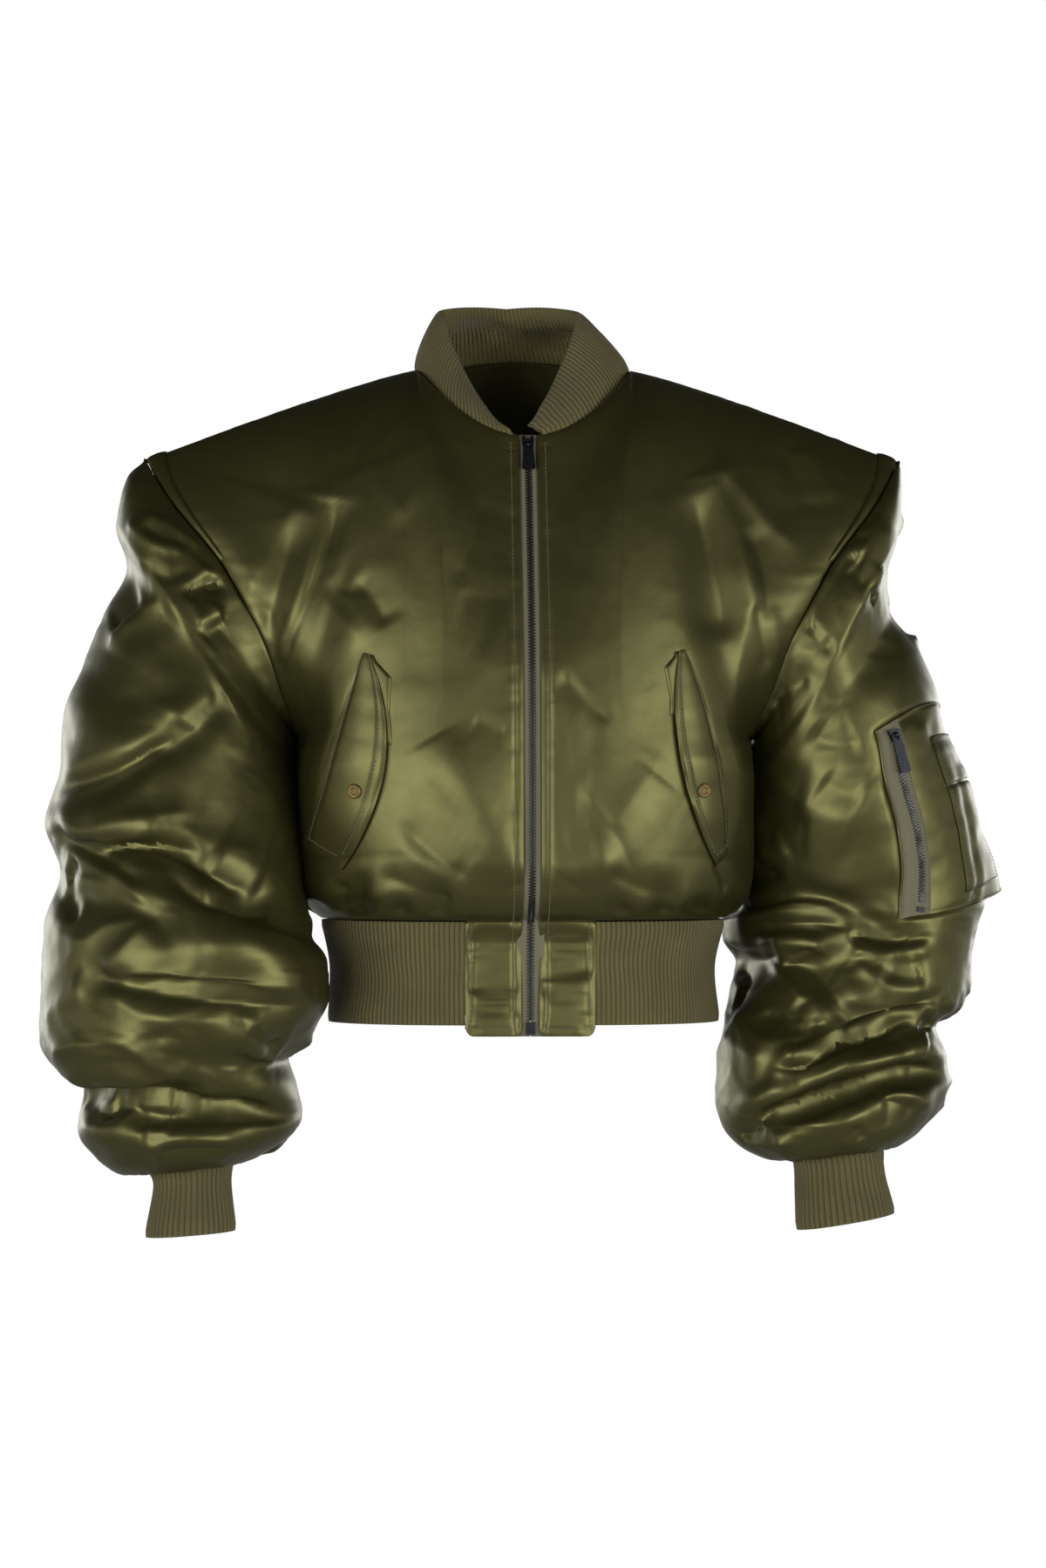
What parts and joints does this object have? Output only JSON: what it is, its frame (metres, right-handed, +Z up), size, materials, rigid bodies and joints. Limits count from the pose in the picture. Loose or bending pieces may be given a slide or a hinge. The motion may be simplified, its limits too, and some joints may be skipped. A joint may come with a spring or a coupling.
{
  "type": "bomber jacket",
  "caption": "Cropped bomber jacket in padded satin with rib-knit collar, cuffs and hem, zip front, flap pockets and a zipped patch pocket on one sleeve, in its worn shape.",
  "frame": {"origin": "midway between the two neck points of the shoulder seams, where the wearer's shoulders carry the jacket", "axes": "+Z up, -Y out of the front, +X to the wearer's left"},
  "size_m": [0.8511, 0.3334, 0.8195],
  "materials": {
    "satin": "lustrous olive satin",
    "rib_knit": "matte olive rib knit",
    "zip_tape": "matte woven tape",
    "zip_metal": "dark satin-gloss metal",
    "snap": "matte bronze"
  },
  "bodies": {
    "garment": {"armhole_tuck_back_left": "satin", "armhole_tuck_back_right": "satin", "armhole_tuck_front_left": "satin", "armhole_tuck_front_right": "satin", "back": "satin", "collar": "rib_knit", "cuff_left": "rib_knit", "cuff_right": "rib_knit", "front_left": "satin", "front_right": "satin", "hem_band": "rib_knit", "pen_pocket_body": "satin", "pen_pocket_top": "satin", "pocket_flap_left": "satin", "pocket_flap_right": "satin", "pocket_snap_left": "snap", "pocket_snap_right": "snap", "pocket_welt_left": "satin", "pocket_welt_right": "satin", "sleeve_left": "satin", "sleeve_pocket": "satin", "sleeve_right": "satin", "sleeve_zip_chain": "zip_metal", "sleeve_zip_slider": "zip_metal", "sleeve_zip_stop": "zip_metal", "sleeve_zip_tape": "zip_tape", "zip_box": "zip_metal", "zip_chain": "zip_metal", "zip_slider": "zip_metal", "zip_stop_left": "zip_metal", "zip_stop_right": "zip_metal", "zip_tape_left": "zip_tape", "zip_tape_right": "zip_tape"},
    "zip_pull": {"zip_pull": "zip_metal"},
    "sleeve_zip_pull": {"sleeve_zip_pull": "zip_metal"}
  },
  "joints": [
    {"name": "zip_pull_hinge", "type": "hinge", "parent": "garment", "child": "zip_pull", "pos_m": [0, -0.08716, -0.07092], "axis": [-1, 0, 0], "range_deg": [0, 150]},
    {"name": "sleeve_zip_pull_hinge", "type": "hinge", "parent": "garment", "child": "sleeve_zip_pull", "pos_m": [0.32004, -0.0926, -0.32319], "axis": [-0.9061, -0.3416, -0.2497], "range_deg": [0, 150]}
  ]
}
